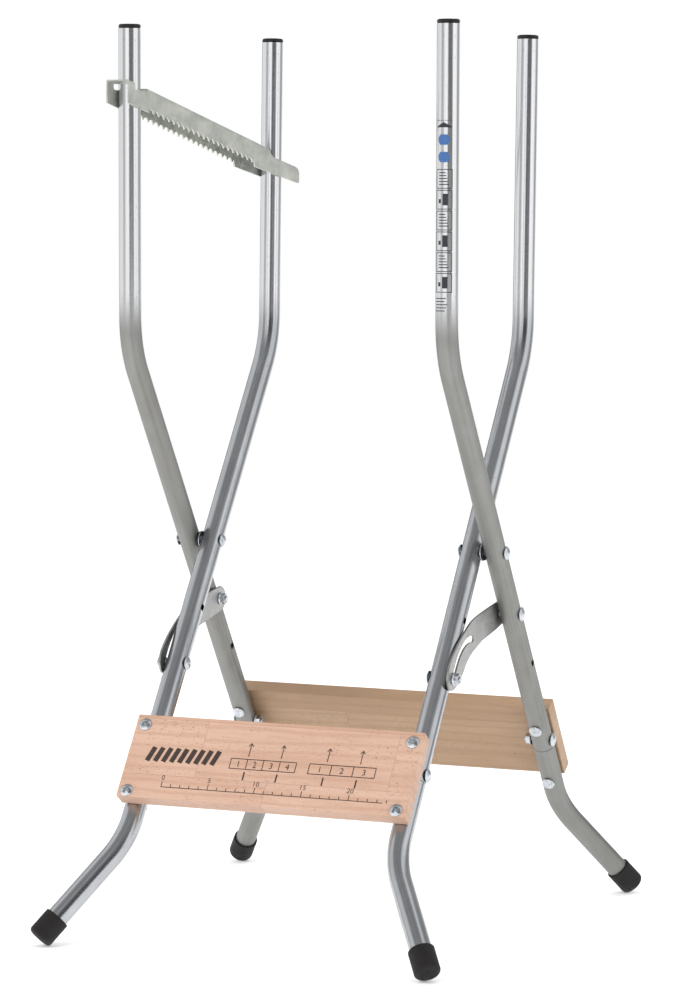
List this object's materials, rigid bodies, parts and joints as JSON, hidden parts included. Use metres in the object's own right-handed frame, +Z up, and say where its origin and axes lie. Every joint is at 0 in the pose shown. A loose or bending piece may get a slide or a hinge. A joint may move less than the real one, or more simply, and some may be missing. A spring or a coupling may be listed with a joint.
{
  "type": "folding sawhorse",
  "caption": "Folding sawhorse of crossed bent tubes with four upright prongs that cradle a log, splayed rubber feet, tie boards, slotted braces and a toothed log-holding rail.",
  "frame": {"origin": "on the floor, in the middle between the four feet", "axes": "+X along the boards towards the side without the rail, +Y from the front to the rear, +Z up"},
  "size_m": [0.4816, 0.5506, 0.9041],
  "materials": {
    "zinc_tube_inner": "bright galvanised tube, bluish, fine drawn lines",
    "zinc_tube_outer": "galvanised tube, warm grey, lengthwise streaks",
    "zinc_fastener": "blue-white zinc plating",
    "zinc_rail": "dull greenish-grey zinc, matt",
    "sheet_steel": "dark satin zinc sheet",
    "black_plastic": "black moulded plastic",
    "black_rubber": "black rubber, dull",
    "pink_beech": "planed beech, pinkish, fine dark flecks",
    "tan_beech": "planed beech, tan"
  },
  "bodies": {
    "inner_frame": {"inner_leg_left": "zinc_tube_inner", "inner_foot_tube_left": "zinc_tube_inner", "inner_cap_left": "black_plastic", "inner_rubber_foot_left": "black_rubber", "inner_brace_bolt_left": "zinc_fastener", "inner_brace_nut_left": "zinc_fastener", "inner_joint_bolt_left": "zinc_fastener", "inner_joint_nut_left": "zinc_fastener", "front_board_screw_upper_left": "zinc_fastener", "front_sleeve_nut_upper_left": "zinc_fastener", "front_board_screw_lower_left": "zinc_fastener", "front_sleeve_nut_lower_left": "zinc_fastener", "inner_leg_right": "zinc_tube_inner", "inner_foot_tube_right": "zinc_tube_inner", "inner_cap_right": "black_plastic", "inner_rubber_foot_right": "black_rubber", "inner_brace_bolt_right": "zinc_fastener", "inner_brace_nut_right": "zinc_fastener", "inner_joint_bolt_right": "zinc_fastener", "inner_joint_nut_right": "zinc_fastener", "front_board_screw_upper_right": "zinc_fastener", "front_sleeve_nut_upper_right": "zinc_fastener", "front_board_screw_lower_right": "zinc_fastener", "front_sleeve_nut_lower_right": "zinc_fastener", "front_board": "pink_beech", "pivot_rivet_left": "zinc_fastener", "pivot_washer_left": "zinc_fastener", "pivot_spacer_left": "black_plastic", "pivot_rivet_right": "zinc_fastener", "pivot_washer_right": "zinc_fastener", "pivot_spacer_right": "black_plastic"},
    "outer_frame": {"outer_leg_left": "zinc_tube_outer", "outer_foot_tube_left": "zinc_tube_outer", "outer_cap_left": "black_plastic", "outer_rubber_foot_left": "black_rubber", "outer_brace_bolt_left": "zinc_fastener", "outer_brace_nut_left": "zinc_fastener", "outer_joint_bolt_left": "zinc_fastener", "outer_joint_nut_left": "zinc_fastener", "rear_board_screw_upper_left": "zinc_fastener", "rear_sleeve_nut_upper_left": "zinc_fastener", "rear_board_screw_lower_left": "zinc_fastener", "rear_sleeve_nut_lower_left": "zinc_fastener", "outer_leg_right": "zinc_tube_outer", "outer_foot_tube_right": "zinc_tube_outer", "outer_cap_right": "black_plastic", "outer_rubber_foot_right": "black_rubber", "outer_brace_bolt_right": "zinc_fastener", "outer_brace_nut_right": "zinc_fastener", "outer_joint_bolt_right": "zinc_fastener", "outer_joint_nut_right": "zinc_fastener", "rear_board_screw_upper_right": "zinc_fastener", "rear_sleeve_nut_upper_right": "zinc_fastener", "rear_board_screw_lower_right": "zinc_fastener", "rear_sleeve_nut_lower_right": "zinc_fastener", "rear_board": "tan_beech"},
    "brace_left": {"brace_plate_left": "sheet_steel"},
    "brace_right": {"brace_plate_right": "sheet_steel"},
    "toothed_rail": {"toothed_rail": "zinc_rail"}
  },
  "joints": [
    {"name": "fold", "type": "hinge", "parent": "inner_frame", "child": "outer_frame", "pos_m": [0, 0, 0.38253], "axis": [-1, 0, 0], "range_deg": [0, 31]},
    {"name": "brace_turn_left", "type": "hinge", "parent": "outer_frame", "child": "brace_left", "pos_m": [-0.169, 0.04589, 0.317], "axis": [1, 0, 0], "range_deg": [0, 42.37]},
    {"name": "brace_turn_right", "type": "hinge", "parent": "outer_frame", "child": "brace_right", "pos_m": [0.169, 0.04589, 0.317], "axis": [1, 0, 0], "range_deg": [0, 42.37]},
    {"name": "rail_swing", "type": "hinge", "parent": "outer_frame", "child": "toothed_rail", "pos_m": [-0.169, -0.14427, 0.8436], "axis": [0, -0.0122, 0.9999], "range_deg": [0, 74.4]}
  ],
  "couplings": [
    {"joint": "brace_turn_left", "follows": "fold", "ratio": 1.3667},
    {"joint": "brace_turn_right", "follows": "fold", "ratio": 1.3667},
    {"joint": "rail_swing", "follows": "fold", "ratio": 2.4}
  ]
}
